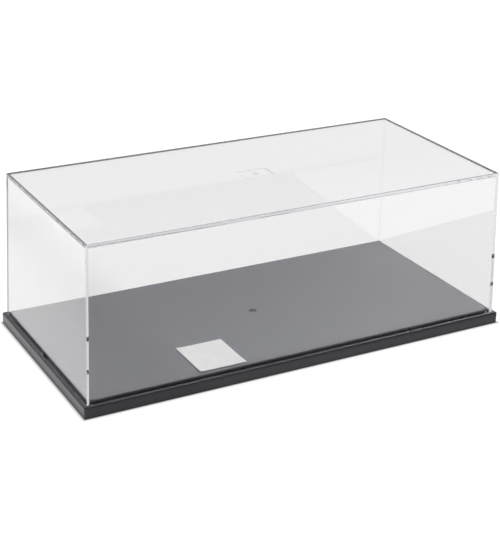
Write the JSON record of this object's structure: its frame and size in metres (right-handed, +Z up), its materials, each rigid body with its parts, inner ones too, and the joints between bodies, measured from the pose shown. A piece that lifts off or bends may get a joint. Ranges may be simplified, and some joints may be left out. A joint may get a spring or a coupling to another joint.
{
  "type": "model display case",
  "caption": "Clear lift-off cover with drafted walls on a black moulded base with a seat for its foot and a raised platform, for showing a scale model free of dust.",
  "frame": {"origin": "on the table under the middle of the base", "axes": "+X along the length to the right, the front faces -Y, +Z up, the way the cover lifts off"},
  "size_m": [0.34, 0.164, 0.1206],
  "materials": {
    "base_black": "satin black moulded polystyrene",
    "cover_clear": "clear polished polystyrene",
    "card_paper": "blank matt white card"
  },
  "bodies": {
    "base_body": {"base": "base_black", "card": "card_paper"},
    "cover_body": {"cover": "cover_clear"}
  },
  "joints": [
    {"name": "cover_lift", "type": "slide", "parent": "base_body", "child": "cover_body", "axis": [0, 0, 1], "range_m": [0, 0.13]}
  ]
}
